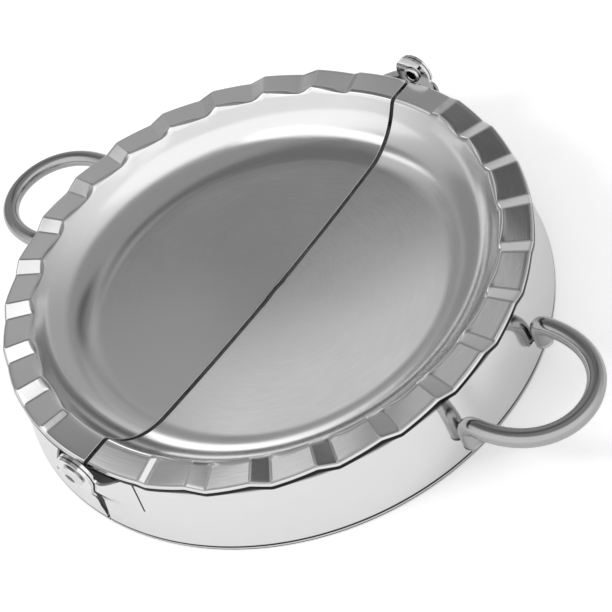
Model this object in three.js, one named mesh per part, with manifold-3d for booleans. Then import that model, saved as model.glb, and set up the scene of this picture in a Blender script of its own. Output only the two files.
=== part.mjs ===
// Empanada press: two pressed steel halves on one hinge line, lying open flat with the dishes up.
// Millimetres, +Z up. The origin is on the table, midway between the two hinge rivets.
// The hinge line runs along Y, the right half lies toward +X and the left half toward -X.

import * as THREE from 'three';
import { mergeVertices } from 'three/addons/utils/BufferGeometryUtils.js';
import Module from 'manifold-3d';

const wasm = await Module();
wasm.setup();

// Clearances
const seatGap = 0.3;
const splitGap = 1.2;
const rivetClearance = 0.25;
const lipClearance = 0.6;
const overrun = 2;

// Cutter wall: a flared band that stands on its bevelled cutting edge
const cutterRadius = 75;
const wallSheet = 0.8;
const bevelHeight = 1.2;
const bevelDepth = 0.4;
const slitWidth = 0.5;
const slitOffset = 13.5;
const slitFootHeight = 10.6;

// Press plate: half a bowl with a crimped rim and a lip rolled down round it
const rimInset = 2.6;
const rimWidth = 7.5;
const rimHeight = 23.1;
const plateSheet = 0.6;
const lipDrop = 1.6;
const lipBend = 0.4;
const dishBend = 1.4;
const dishSide = 2.8;
const shoulderBend = 18;
const dishSteepness = THREE.MathUtils.degToRad(60);
const floorSlope = THREE.MathUtils.degToRad(3.86);

// Crimps: gentle ramps with a steep step between each two
const crimpDepth = 1.6;
const crimpCount = 13;
const crimpEndAngle = THREE.MathUtils.degToRad(13.3);
const endPitchShare = 0.9;
const steepAngle = THREE.MathUtils.degToRad(3.85);
const endStepShare = 0.43;
const wideEndStepShare = 0.75;
const longestFacet = THREE.MathUtils.degToRad(5);

// Hinge: the left half's ears lie outside the right half's ears
const axisLift = 0.4;
const earRadius = 5.5;
const earStandoff = 1.9;
const earMargin = 0.5;
const earRiseHeight = 8;
const earBlendWidth = 7.3;
const slotHeight = 9.8;
const neckWidth = 4;
const neckSlope = THREE.MathUtils.degToRad(10);

// Rivet: domed head outside, tail rolled over inside
const rivetRadius = 1.95;
const rivetWall = 0.55;
const rivetWeb = 0.2;
const headFlange = 1.45;
const headHeight = 1.1;
const tailFlange = 0.55;
const tailHeight = 0.6;

// Handle: one bent wire with a D-shaped bow and two feet
const wireDiameter = 4.7;
const handleHeight = 13.7;
const handleHalfWidth = 16.6;
const legLength = 5.7;
const bowDepth = 18.4;
const bowPinchShare = 0.93;
const bowTipShare = 3 / 4;
const footLength = 7.5;
const footBend = 0.5;

// Fineness of the facets
const wallStep = THREE.MathUtils.degToRad(5.2);
const earRows = 6;
const earColumns = 4;
const shoulderSteps = 5;
const floorShares = [0.5, 0];
const wireSides = 12;
const wireSteps = 46;
const rivetSides = 28;
const arcSegments = 20;
const domeSteps = 3;

// Sizes worked out from the ones above
const quarterTurn = Math.PI / 2;
const rimRadius = cutterRadius - rimInset;
const rimFlatRadius = rimRadius - rimWidth;
const wallTop = rimHeight - crimpDepth / 2 - plateSheet - seatGap;
const wallTopRadius = rimRadius - plateSheet - lipClearance;
const wallLean = Math.atan((cutterRadius - wallTopRadius) / wallTop);
const hingeHeight = rimHeight + axisLift;
const earFlatHeight = hingeHeight - earRadius - earMargin;
const earFlatReach = earRadius + earMargin;
const earTop = hingeHeight + earRadius + overrun;
const innerEarInside = rimRadius + earStandoff;
const innerEarOutside = innerEarInside + wallSheet;
const outerEarStep = wallSheet + seatGap;
const outerEarOutside = innerEarOutside + outerEarStep;
const hingeSpan = 2 * (outerEarOutside + overrun);
const holeRadius = rivetRadius + rivetClearance;
const boreRadius = rivetRadius - rivetWall;
const headRadius = rivetRadius + headFlange;
const tailRadius = rivetRadius + tailFlange;
const wireRadius = wireDiameter / 2;
const footBendReach = (wireRadius + footBend) * Math.SQRT2;
const crimpPitch = (Math.PI - 2 * crimpEndAngle) / (crimpCount - 3 + 2 * endPitchShare);
const lastCrimp = (crimpCount - 1) / 2;

// The dish's section: where its bend, its straight side, its shoulder and its floor end
const lipRound = lipBend + plateSheet;
const dishRound = dishBend + plateSheet;
const sideTopRadius = rimFlatRadius - dishRound * Math.sin(dishSteepness);
const sideFootRadius = sideTopRadius - dishSide * Math.cos(dishSteepness);
const floorRadius = sideFootRadius - shoulderBend * (Math.sin(dishSteepness) - Math.sin(floorSlope));
const sideTopDepth = dishRound * (1 - Math.cos(dishSteepness));
const sideFootDepth = sideTopDepth + dishSide * Math.sin(dishSteepness);
const floorEdgeDepth = sideFootDepth + shoulderBend * (Math.cos(floorSlope) - Math.cos(dishSteepness));
const floorCrown = (floorRadius * Math.tan(floorSlope)) / 2;
const dishDepth = floorEdgeDepth + floorCrown;

// Each piece has its own polished steel
function steel(color, roughness) {
  return new THREE.MeshStandardMaterial({ color, roughness, metalness: 1 });
}

function smooth(value) {
  const share = THREE.MathUtils.clamp(value, 0, 1);
  return share * share * (3 - 2 * share);
}

// A closed geometry becomes a solid that can be joined and cut
function solidFrom(geometry) {
  const bare = geometry.clone();
  bare.deleteAttribute('normal');
  bare.deleteAttribute('uv');
  const merged = mergeVertices(bare);
  const corners = merged.index.array;
  const kept = [];
  for (let at = 0; at < corners.length; at += 3) {
    const [a, b, c] = corners.slice(at, at + 3);
    if (a !== b && b !== c && c !== a) kept.push(a, b, c);
  }
  const vertProperties = new Float32Array(merged.attributes.position.array);
  const triVerts = new Uint32Array(kept);
  return new wasm.Manifold(new wasm.Mesh({ numProp: 3, vertProperties, triVerts }));
}

function geometryFrom(solid) {
  const mesh = solid.getMesh();
  const geometry = new THREE.BufferGeometry();
  geometry.setAttribute('position', new THREE.BufferAttribute(new Float32Array(mesh.vertProperties), 3));
  geometry.setIndex(new THREE.BufferAttribute(new Uint32Array(mesh.triVerts), 1));
  return geometry;
}

// Triangles between two chains of points; measure says how far along its chain a point lies
function addRibbon(triangles, first, second, measure, flipped) {
  let a = 0;
  let b = 0;
  while (a < first.length - 1 || b < second.length - 1) {
    const firstDone = a === first.length - 1;
    const secondDone = b === second.length - 1;
    const takeFirst = secondDone || (!firstDone && measure(first, a + 1) <= measure(second, b + 1));
    const next = takeFirst ? first[a + 1] : second[b + 1];
    const corners = [first[a], second[b], next];
    triangles.push(...(flipped ? corners.reverse() : corners));
    if (takeFirst) a += 1;
    else b += 1;
  }
}

// A sheet of metal lofted through columns, each with a chain on its face and one on its back
function sheetSolid(columns, measure) {
  const triangles = [];
  const last = columns.length - 1;
  for (let at = 0; at < last; at += 1) {
    const here = columns[at];
    const there = columns[at + 1];
    addRibbon(triangles, here.face, there.face, measure, false);
    addRibbon(triangles, here.back, there.back, measure, true);
    const tips = [here.face.at(-1), there.face.at(-1), there.back.at(-1), here.back.at(-1)];
    const roots = [here.back[0], there.back[0], there.face[0], here.face[0]];
    for (const [a, b, c, d] of [tips, roots]) triangles.push(a, b, c, a, c, d);
  }
  addRibbon(triangles, columns[0].back, columns[0].face, measure, false);
  addRibbon(triangles, columns[last].face, columns[last].back, measure, false);
  const geometry = new THREE.BufferGeometry();
  geometry.setFromPoints(triangles);
  return solidFrom(geometry);
}

// A bar of the outline drawn in X and Z, along Y past both hinge ends
function barAlongHinge(shape) {
  const geometry = new THREE.ExtrudeGeometry(shape, {
    depth: hingeSpan,
    bevelEnabled: false,
    curveSegments: arcSegments,
  });
  geometry.rotateX(quarterTurn);
  geometry.translate(0, hingeSpan / 2, 0);
  return solidFrom(geometry);
}

// One point of the plate's section; follows says how much of the crimps' rise it takes
function sectionPoint(radius, height, slope, follows) {
  return { radius, height, slope, follows };
}

// The rolled lip, from its lower edge up and over to the rim
function lipSection() {
  const points = [sectionPoint(rimRadius, -lipDrop, -quarterTurn, 1)];
  for (const slope of [-quarterTurn, -quarterTurn / 2, 0]) {
    const radius = rimRadius - lipRound * (1 + Math.sin(slope));
    points.push(sectionPoint(radius, lipRound * (Math.cos(slope) - 1), slope, 1));
  }
  return points;
}

// The bend from the rim down into the dish, where the crimps run out
function dishEdgeSection() {
  return [0, dishSteepness / 2, dishSteepness].map((slope) => {
    const radius = rimFlatRadius - dishRound * Math.sin(slope);
    return sectionPoint(radius, dishRound * (Math.cos(slope) - 1), slope, slope < dishSteepness ? 1 : 0);
  });
}

// The round shoulder between the dish's steep side and its floor
function shoulderSection() {
  const points = [];
  for (let step = 0; step <= shoulderSteps; step += 1) {
    const slope = THREE.MathUtils.lerp(dishSteepness, floorSlope, step / shoulderSteps);
    const radius = floorRadius + shoulderBend * (Math.sin(slope) - Math.sin(floorSlope));
    const height = floorCrown - dishDepth + shoulderBend * (Math.cos(floorSlope) - Math.cos(slope));
    points.push(sectionPoint(radius, height, slope, 0));
  }
  return points;
}

// The floor is a shallow crown that runs down to the middle
function floorSection() {
  return floorShares.map((share) => sectionPoint(
    floorRadius * share,
    floorCrown * share * share - dishDepth,
    floorSlope * share,
    0,
  ));
}

// Angle and height of each corner of the crimped rim, from one end of the half to the other
function crimpCorners(lastStepShare) {
  const corners = [[-quarterTurn, 0]];
  for (let step = -lastCrimp; step <= lastCrimp; step += 1) {
    const isFirst = step === -lastCrimp;
    const isLast = step === lastCrimp;
    const endMiddle = Math.sign(step) * (quarterTurn - crimpEndAngle);
    const middle = isFirst || isLast ? endMiddle : step * crimpPitch;
    const share = isFirst ? endStepShare : isLast ? lastStepShare : 1;
    corners.push([middle - (steepAngle / 2) * share, isFirst ? 0 : crimpDepth / 2]);
    corners.push([middle + (steepAngle / 2) * share, isLast ? 0 : -crimpDepth / 2]);
  }
  corners.push([quarterTurn, 0]);
  return corners;
}

// The same corners with the long facets divided, so that the rim stays round
function crimpColumns(lastStepShare) {
  const corners = crimpCorners(lastStepShare);
  const columns = [corners[0]];
  for (let at = 1; at < corners.length; at += 1) {
    const [fromAngle, fromHeight] = corners[at - 1];
    const [toAngle, toHeight] = corners[at];
    const parts = Math.ceil((toAngle - fromAngle) / longestFacet);
    for (let part = 1; part <= parts; part += 1) {
      const angle = THREE.MathUtils.lerp(fromAngle, toAngle, part / parts);
      columns.push([angle, THREE.MathUtils.lerp(fromHeight, toHeight, part / parts)]);
    }
  }
  return columns;
}

// Press plate: the dish's section swept round half a turn while the rim rises and falls
function pressPlate(lastStepShare) {
  const profile = [...lipSection(), ...dishEdgeSection(), ...shoulderSection(), ...floorSection()];
  const columns = crimpColumns(lastStepShare).map(([angle, lift]) => {
    const place = (radius, height, follows) => new THREE.Vector3(
      radius * Math.cos(angle),
      radius * Math.sin(angle),
      rimHeight + height + lift * follows,
    );
    const face = profile.map((point) => place(point.radius, point.height, point.follows));
    const back = profile.map((point) => place(
      point.radius + plateSheet * Math.sin(point.slope),
      point.height - plateSheet * Math.cos(point.slope),
      point.follows,
    ));
    return { face, back };
  });
  const plate = sheetSolid(columns, (chain, at) => at);
  return geometryFrom(plate.subtract(splitCut()));
}

// What lies on the far side of the split is cut away from a half
function splitCut() {
  const depth = rimRadius;
  const box = new THREE.BoxGeometry(depth, 2 * (rimRadius + overrun), 2 * (rimHeight + overrun));
  box.translate((splitGap - depth) / 2, 0, rimHeight);
  return solidFrom(box);
}

function wallRadiusAt(height) {
  return cutterRadius - height * Math.tan(wallLean);
}

// How far along Y the wall's outside lies, where it leaves the cone and rises to an ear
function earFaceAt(x, height, isOuter) {
  const radius = wallRadiusAt(height);
  const cone = Math.sqrt(radius * radius - x * x);
  const across = smooth((earFlatReach + earBlendWidth - Math.abs(x)) / earBlendWidth);
  const up = smooth((height - earRiseHeight) / (earFlatHeight - earRiseHeight));
  const inner = THREE.MathUtils.lerp(cone, innerEarOutside, across * up);
  const stepUp = smooth((height - bevelHeight) / (slotHeight - bevelHeight));
  return inner + (isOuter ? outerEarStep * across * stepUp : 0);
}

// A column of the wall beside the hinge, at one distance from the split
function earColumn(x, side, isOuter) {
  const heights = [0, bevelHeight];
  for (let row = 1; row <= earRows; row += 1) {
    heights.push(THREE.MathUtils.lerp(bevelHeight, earFlatHeight, row / earRows));
  }
  heights.push(wallTop, earTop);
  const outside = (height) => earFaceAt(x, height, isOuter) - (height === 0 ? bevelDepth : 0);
  const inside = (height) => earFaceAt(x, height, isOuter) - wallSheet;
  return {
    face: heights.map((height) => new THREE.Vector3(x, side * outside(height), height)),
    back: heights.map((height) => new THREE.Vector3(x, side * inside(height), height)),
  };
}

// A column of the plain cone
function coneColumn(angle) {
  const place = (radius, height) => new THREE.Vector3(
    radius * Math.cos(angle),
    radius * Math.sin(angle),
    height,
  );
  const heights = [0, bevelHeight, earTop];
  const outside = (height) => wallRadiusAt(height) - (height === 0 ? bevelDepth : 0);
  return {
    face: heights.map((height) => place(outside(height), height)),
    back: heights.map((height) => place(wallRadiusAt(height) - wallSheet, height)),
  };
}

// Columns of one hinge end, from beyond the split to where the plain cone begins
function hingeEndColumns(side, isOuter) {
  const places = [];
  for (let at = 0; at <= earColumns; at += 1) {
    places.push(THREE.MathUtils.lerp(-earFlatReach, earFlatReach, at / earColumns));
  }
  for (let at = 1; at <= earColumns; at += 1) {
    places.push(earFlatReach + (earBlendWidth * at) / earColumns);
  }
  return places.map((x) => earColumn(x, side, isOuter));
}

// The wall's outline seen along the hinge line: band, neck, round ear and the lobe down to the slot
function wallOutline() {
  const splitEdge = splitGap / 2;
  const neckTop = hingeHeight - earRadius * Math.sin(neckSlope);
  const neckEdge = earRadius * Math.cos(neckSlope);
  const slotDrop = hingeHeight - slotHeight;
  const slotDistance = Math.hypot(splitEdge, slotDrop);
  const slotAngle = Math.atan2(-slotDrop, splitEdge);
  const lobeAngle = 2 * Math.PI + slotAngle - Math.acos(earRadius / slotDistance);
  const shape = new THREE.Shape();
  shape.moveTo(splitEdge, -overrun);
  shape.lineTo(cutterRadius + overrun, -overrun);
  shape.lineTo(cutterRadius + overrun, wallTop);
  shape.lineTo(earRadius + neckWidth, wallTop);
  shape.quadraticCurveTo(neckEdge, wallTop, neckEdge, neckTop);
  shape.absarc(0, hingeHeight, earRadius, -neckSlope, lobeAngle, false);
  shape.lineTo(splitEdge, slotHeight);
  return shape;
}

function rivetHole() {
  const hole = new THREE.CylinderGeometry(holeRadius, holeRadius, hingeSpan, rivetSides);
  hole.translate(0, 0, hingeHeight);
  return solidFrom(hole);
}

// Relief slits beside the ears, from the top edge down
function reliefSlits() {
  const height = wallTop - slitFootHeight + overrun;
  const slit = new THREE.BoxGeometry(slitWidth, hingeSpan, height);
  slit.translate(slitOffset, 0, slitFootHeight + height / 2);
  return solidFrom(slit);
}

// Cutter wall: a lofted sheet trimmed to its outline, drilled for the rivets
function cutterWall(isOuter) {
  const blendEnd = (earFlatReach + earBlendWidth) / wallTopRadius;
  const sweep = 2 * (quarterTurn - blendEnd - wallStep / 2);
  const steps = Math.ceil(sweep / wallStep);
  const near = hingeEndColumns(-1, isOuter);
  const far = hingeEndColumns(1, isOuter).reverse();
  const cone = [];
  for (let step = 0; step <= steps; step += 1) {
    cone.push(coneColumn(sweep * (step / steps - 1 / 2)));
  }
  const sheet = sheetSolid([...near, ...cone, ...far], (chain, at) => chain[at].z);
  const trimmed = sheet.intersect(barAlongHinge(wallOutline()));
  const drilled = trimmed.subtract(rivetHole());
  return geometryFrom(isOuter ? drilled : drilled.subtract(reliefSlits()));
}

// Where the wire's centre line leaves its foot, one wire radius and a seat off the wall
function footCorner(side) {
  const offset = wireRadius + seatGap;
  const radius = wallRadiusAt(handleHeight) + offset * Math.cos(wallLean);
  const angle = side * Math.asin(handleHalfWidth / radius);
  const along = new THREE.Vector3(
    Math.sin(wallLean) * Math.cos(angle),
    Math.sin(wallLean) * Math.sin(angle),
    -Math.cos(wallLean),
  );
  const corner = new THREE.Vector3(
    radius * Math.cos(angle),
    radius * Math.sin(angle),
    handleHeight + offset * Math.sin(wallLean),
  );
  return { corner, along };
}

// Foot, bend and leg of one side of the handle, from the foot's cut end to the bow
function handleLeg(side, bowStart) {
  const { corner, along } = footCorner(side);
  const outward = bowStart.clone().sub(corner).normalize();
  const footEnd = corner.clone().addScaledVector(along, footLength);
  const bendStart = corner.clone().addScaledVector(along, footBendReach);
  const bendEnd = corner.clone().addScaledVector(outward, footBendReach);
  return [
    new THREE.LineCurve3(footEnd, bendStart),
    new THREE.QuadraticBezierCurve3(bendStart, corner, bendEnd),
    new THREE.LineCurve3(bendEnd, bowStart),
  ];
}

function reversed(curve) {
  if (curve.isLineCurve3) return new THREE.LineCurve3(curve.v2, curve.v1);
  return new THREE.QuadraticBezierCurve3(curve.v2, curve.v1, curve.v0);
}

// The wire's route: foot, leg, D-shaped bow, leg and foot
function handleRoute() {
  const height = footCorner(1).corner.z;
  const bowRoot = footCorner(1).corner.x + legLength;
  const bowControl = bowRoot + bowDepth / bowTipShare;
  const start = new THREE.Vector3(bowRoot, -handleHalfWidth, height);
  const end = new THREE.Vector3(bowRoot, handleHalfWidth, height);
  const pinch = handleHalfWidth * bowPinchShare;
  const route = new THREE.CurvePath();
  for (const curve of handleLeg(-1, start)) route.add(curve);
  route.add(new THREE.CubicBezierCurve3(
    start,
    new THREE.Vector3(bowControl, -pinch, height),
    new THREE.Vector3(bowControl, pinch, height),
    end,
  ));
  for (const curve of handleLeg(1, end).reverse()) route.add(reversed(curve));
  return route;
}

function handle() {
  const section = [];
  for (let at = 0; at < wireSides; at += 1) {
    const angle = (2 * Math.PI * at) / wireSides;
    section.push(new THREE.Vector2(wireRadius * Math.cos(angle), wireRadius * Math.sin(angle)));
  }
  return new THREE.ExtrudeGeometry(new THREE.Shape(section), {
    steps: wireSteps,
    extrudePath: handleRoute(),
  });
}

// Rivet turned about Y, with its head toward +Y
function rivet() {
  const tailTop = innerEarInside - seatGap;
  const tailEnd = tailTop - tailHeight;
  const headBase = outerEarOutside + seatGap;
  const points = [
    new THREE.Vector2(0, headBase - rivetWeb),
    new THREE.Vector2(boreRadius, headBase - rivetWeb),
    new THREE.Vector2(boreRadius, tailEnd + tailHeight / 2),
    new THREE.Vector2((boreRadius + rivetRadius) / 2, tailEnd),
    new THREE.Vector2((rivetRadius + tailRadius) / 2, tailEnd),
    new THREE.Vector2(tailRadius, tailEnd + tailHeight / 2),
    new THREE.Vector2(tailRadius, tailTop),
    new THREE.Vector2(rivetRadius, tailTop),
    new THREE.Vector2(rivetRadius, headBase),
  ];
  for (let step = 0; step <= domeSteps; step += 1) {
    const angle = (quarterTurn * step) / domeSteps;
    const radius = step === domeSteps ? 0 : headRadius * Math.cos(angle);
    points.push(new THREE.Vector2(radius, headBase + headHeight * Math.sin(angle)));
  }
  const geometry = new THREE.LatheGeometry(points, rivetSides);
  geometry.translate(0, 0, hingeHeight);
  return geometry;
}

function named(name, geometry, material) {
  const mesh = new THREE.Mesh(geometry, material);
  mesh.name = name;
  return mesh;
}

function half(name, earsOutside, lastStepShare) {
  const group = new THREE.Group();
  group.add(named(`${name}_press_plate`, pressPlate(lastStepShare), steel(0xb9bbbd, 0.16)));
  group.add(named(`${name}_cutter_wall`, cutterWall(earsOutside), steel(0xc6c8ca, 0.14)));
  group.add(named(`${name}_handle`, handle(), steel(0xa9abad, 0.18)));
  return group;
}

const press = new THREE.Group();
const rightHalf = half('right', false, wideEndStepShare);
const leftHalf = half('left', true, endStepShare);
leftHalf.rotation.z = Math.PI;
press.add(rightHalf, leftHalf);

const farRivet = named('far_hinge_rivet', rivet(), steel(0xd0d2d4, 0.12));
const nearRivet = named('near_hinge_rivet', rivet(), steel(0xd0d2d4, 0.12));
nearRivet.rotation.z = Math.PI;
press.add(farRivet, nearRivet);

export default press;
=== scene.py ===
"""Empanada press in polished steel, lying open flat with its two dishes up.

Each half is a crimped plate in a cutter wall with a wire handle, and two hollow rivets
join them. Both halves are built on the right, and the left one is turned half a turn.
"""

import math

import bmesh
import bpy
from mathutils import Matrix, Vector


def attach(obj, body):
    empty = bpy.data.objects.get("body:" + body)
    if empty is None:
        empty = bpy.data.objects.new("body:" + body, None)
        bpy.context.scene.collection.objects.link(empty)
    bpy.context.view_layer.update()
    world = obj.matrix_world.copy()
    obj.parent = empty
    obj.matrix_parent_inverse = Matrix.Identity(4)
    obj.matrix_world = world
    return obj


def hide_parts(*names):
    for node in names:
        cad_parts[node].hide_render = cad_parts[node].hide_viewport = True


bl_info = {
    "name": "Empanada Press",
    "version": (1, 0, 0),
    "blender": (4, 5, 0),
    "location": "3D View > Sidebar > Press",
    "description": "Builds a hinged, crimped empanada press over its CAD frame",
    "category": "Add Mesh",
}

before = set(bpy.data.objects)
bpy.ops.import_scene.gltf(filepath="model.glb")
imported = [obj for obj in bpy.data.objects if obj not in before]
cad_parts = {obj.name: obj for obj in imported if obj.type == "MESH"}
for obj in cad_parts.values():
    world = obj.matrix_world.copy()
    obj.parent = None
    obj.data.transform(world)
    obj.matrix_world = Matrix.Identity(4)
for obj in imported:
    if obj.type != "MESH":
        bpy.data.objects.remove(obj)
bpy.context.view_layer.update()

QUARTER = math.pi / 2
HINGE_HEIGHT = 0.0235
HALVES = {"right": 0, "left": math.pi}


# ---- settings


def number(name, description, default, **more):
    return bpy.props.FloatProperty(name=name, description=description, default=default, **more)


def length(name, description, default):
    return number(name, description, default, min=0, precision=5, unit="LENGTH")


def angle(name, description, degrees):
    return number(name, description, math.radians(degrees), subtype="ANGLE")


def share(name, description, default):
    return number(name, description, default, min=0, max=1)


def whole(name, description, default, least):
    return bpy.props.IntProperty(name=name, description=description, default=default, min=least)


def colour(name, description, default):
    return bpy.props.FloatVectorProperty(
        name=name,
        description=description,
        default=default,
        size=3,
        min=0,
        max=1,
        subtype="COLOR",
    )


class PRESS_PG_plate(bpy.types.PropertyGroup):
    """Sizes of the two dished and crimped plates"""

    rim_radius: length("Rim radius", "Outside of the rolled lip", 0.0724)
    rim_height: length("Rim height", "Mean height of the crimped rim", 0.0231)
    sheet: length("Sheet", "Thickness of the steel", 0.0006)
    split_gap: length("Split gap", "Gap between the two halves", 0.0012)
    edge_round: length("Edge rounding", "Rounding along the split", 0.00015)
    lip_drop: length("Lip drop", "How far the lip hangs below the rim", 0.0016)
    lip_bend: length("Lip bend", "Inside radius of the lip's bend", 0.0004)
    rim_flat_radius: length("Rim inner radius", "Where the rim turns down", 0.0649)
    dish_bend: length("Dish bend", "Inside radius of the bend into the dish", 0.0014)
    shoulder_bend: length("Shoulder", "Radius between side and floor", 0.018)
    floor_radius: length("Floor radius", "Where the shoulder meets the floor", 0.04739)
    dish_depth: length("Dish depth", "Depth of the middle below the rim", 0.01398)
    floor_crown: length("Floor crown", "Rise of the floor to its edge", 0.0016)
    steepness: angle("Dish side", "Slope of the dish's side", 60)
    crimp_depth: length("Crimp depth", "Height of a crimp's step", 0.0016)
    crimp_count: whole("Crimps", "Steps on each half", 13, 5)
    crimp_end: angle("Flat end", "Angle from the split to the first step", 13.3)
    end_pitch: share("End pitch", "First and last spacing of the steps", 0.9)
    steep_angle: angle("Step width", "Angle that one step takes", 3.85)
    end_share: share("End step", "Width of the first and last step", 0.43)
    wide_share: share("Wide end step", "Width of the right half's far step", 0.75)
    crease: angle("Crease", "Half the angle that a crease is rounded over", 0.2)


class PRESS_PG_wall(bpy.types.PropertyGroup):
    """Sizes of the flared cutter walls with their hinge ears"""

    cutter_radius: length("Cutter radius", "Outside radius at the table", 0.075)
    top_radius: length("Top radius", "Outside radius under the lip", 0.0712)
    top_height: length("Top height", "Height of the wall's top edge", 0.0214)
    sheet: length("Sheet", "Thickness of the steel", 0.0008)
    bevel_height: length("Bevel height", "Height of the cutting bevel", 0.0012)
    bevel_depth: length("Bevel depth", "Depth of the cutting bevel", 0.0004)
    split_gap: length("Split gap", "Gap between the two halves", 0.0012)
    hinge_height: length("Hinge height", "Height of the hinge line", HINGE_HEIGHT)
    ear_radius: length("Ear radius", "Radius of the round ears", 0.0055)
    ear_face: length("Ear face", "Outside of an inner ear, from the middle", 0.0751)
    ear_step: length("Ear step", "How much further out the outer ears lie", 0.0011)
    flat_reach: length("Flat reach", "Half width of an ear's flat", 0.006)
    flat_height: length("Flat height", "Where an ear's flat begins", 0.0175)
    rise_height: length("Rise height", "Where an ear leaves the cone", 0.008)
    blend_width: length("Blend width", "Width of the blend beside an ear", 0.0073)
    slot_height: length("Slot height", "Top of the open slot below the ears", 0.0098)
    neck_width: length("Neck width", "Width of the fillet beside an ear", 0.004)
    neck_slope: angle("Neck slope", "Where the fillet leaves the ear", 10)
    hole_radius: length("Hole radius", "Rivet hole", 0.0022)
    slit_width: length("Slit width", "Relief slits beside the inner ears", 0.0005)
    slit_top: length("Slit place", "Distance from the split at the top", 0.0128)
    slit_foot: length("Slit foot", "Distance from the split at the foot", 0.0142)
    slit_height: length("Slit foot height", "Height of the slit's foot", 0.0106)


class PRESS_PG_handle(bpy.types.PropertyGroup):
    """Sizes of the bent wire handles"""

    wire: length("Wire", "Diameter of the wire", 0.0047)
    height: length("Height", "Height of the legs where they meet the wall", 0.0137)
    half_width: length("Half width", "Half the distance between the legs", 0.0166)
    leg: length("Leg", "From the foot's corner to the bow", 0.0057)
    bow_depth: length("Bow depth", "Depth of the round bow", 0.0184)
    pinch: share("Pinch", "How much the bow draws in", 0.93)
    foot: length("Foot", "Length of a foot below its leg", 0.0075)
    bend: length("Bend", "Length that the foot's bend takes", 0.00403)
    seat: length("Seat", "Gap between a foot and the wall", 0.0003)
    sides: whole("Sides", "Facets round the wire", 40, 8)


class PRESS_PG_rivet(bpy.types.PropertyGroup):
    """Sizes of the two hollow hinge rivets"""

    shank: length("Shank radius", "Radius in the ears' holes", 0.00195)
    bore: length("Bore radius", "Radius of the hollow", 0.0014)
    head: length("Head radius", "Radius of the domed head", 0.0034)
    head_height: length("Head height", "Height of the domed head", 0.0011)
    tail: length("Tail radius", "Radius of the rolled tail", 0.0025)
    tail_height: length("Tail height", "Thickness of the rolled tail", 0.0006)
    tail_face: length("Tail face", "Tail's seat, from the middle", 0.074)
    head_face: length("Head face", "Head's seat, from the middle", 0.0765)
    web: length("Web", "How deep the head closes the bore", 0.0002)


class PRESS_PG_finish(bpy.types.PropertyGroup):
    """Colours and polish of the steel"""

    plate: colour("Plate", "Steel of the plates", (0.66, 0.66, 0.66))
    wall: colour("Wall", "Steel of the walls", (0.83, 0.83, 0.83))
    wire: colour("Wire", "Steel of the handles", (0.45, 0.45, 0.45))
    rivet: colour("Rivet", "Steel of the rivets", (0.74, 0.74, 0.74))
    plate_roughness: share("Plate roughness", "Polish of the plates", 0.15)
    wall_roughness: share("Wall roughness", "Polish of the walls", 0.1)
    wire_roughness: share("Wire roughness", "Polish of the handles", 0.18)
    rivet_roughness: share("Rivet roughness", "Polish of the rivets", 0.16)


class PRESS_PG_stage(bpy.types.PropertyGroup):
    """Camera, floor and light"""

    distance: length("Distance", "Camera to the middle of the rim", 0.38818)
    elevation: angle("Elevation", "Camera above the table", 46.808)
    azimuth: angle("Azimuth", "Camera round the press", 53.471)
    roll: angle("Roll", "Tilt of the picture", -22.548)
    aim_right: number("Aim right", "Camera moved right", 0.012504, unit="LENGTH")
    aim_up: number("Aim up", "Camera moved up", -0.013071, unit="LENGTH")
    aim_height: length("Aim height", "Height of the plane aimed at", 0.0234)
    lens: number("Lens", "Focal length in mm", 86.67, min=1)
    floor: colour("Floor", "Pale table", (0.9, 0.9, 0.9))
    window_azimuth: angle("Bright side", "Middle of the room's bright side", -45)
    window_light: number("Bright light", "Light of the bright side", 1.12, min=0)
    ceiling_azimuth: angle("Ceiling azimuth", "Where the grey ceiling leans", 118)
    ceiling_tilt: angle("Ceiling tilt", "How far the grey ceiling leans", 20)
    ceiling_reach: angle("Ceiling reach", "Half the width of the grey ceiling", 45)
    ceiling_edge: angle("Ceiling edge", "Softness of the ceiling's edge", 5)
    ceiling_light: share("Ceiling light", "Light of the grey ceiling", 0.37)
    back_light: share("Back light", "Light of the far side", 0.5)


# ---- helpers


def smooth(value):
    value = min(max(value, 0.0), 1.0)
    return value * value * (3 - 2 * value)


def mix(a, b, t):
    return a + (b - a) * t


def bent(start, corner, end, t):
    """Part t of a bend between two ends, drawn toward a corner."""
    return start * (1 - t) ** 2 + corner * (2 * t * (1 - t)) + end * t * t


def steps(a, b, count):
    """Count + 1 values from a to b."""
    return [mix(a, b, i / count) for i in range(count + 1)]


def link(obj):
    bpy.context.scene.collection.objects.link(obj)
    return obj


def object_from(name, vertices, faces):
    mesh = bpy.data.meshes.new(name)
    mesh.from_pydata([tuple(v) for v in vertices], [], faces)
    mesh.update()
    return link(bpy.data.objects.new(name, mesh))


def sheet_faces(columns, rows):
    """Faces of a closed sheet: each column runs along its outside and back along its inside."""
    ring = 2 * rows
    last = (columns - 1) * ring
    faces = []
    for start in range(0, last, ring):
        for i in range(ring):
            j = (i + 1) % ring
            faces.append((start + i, start + ring + i, start + ring + j, start + j))
    for start in (0, last):
        for i in range(rows - 1):
            j = ring - 1 - i
            faces.append((start + i, start + i + 1, start + j - 1, start + j))
    return faces


def turned(obj, turn):
    """Turns a half about the middle, in its mesh."""
    if turn:
        obj.data.transform(Matrix.Rotation(turn, 4, "Z"))
    return obj


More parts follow.
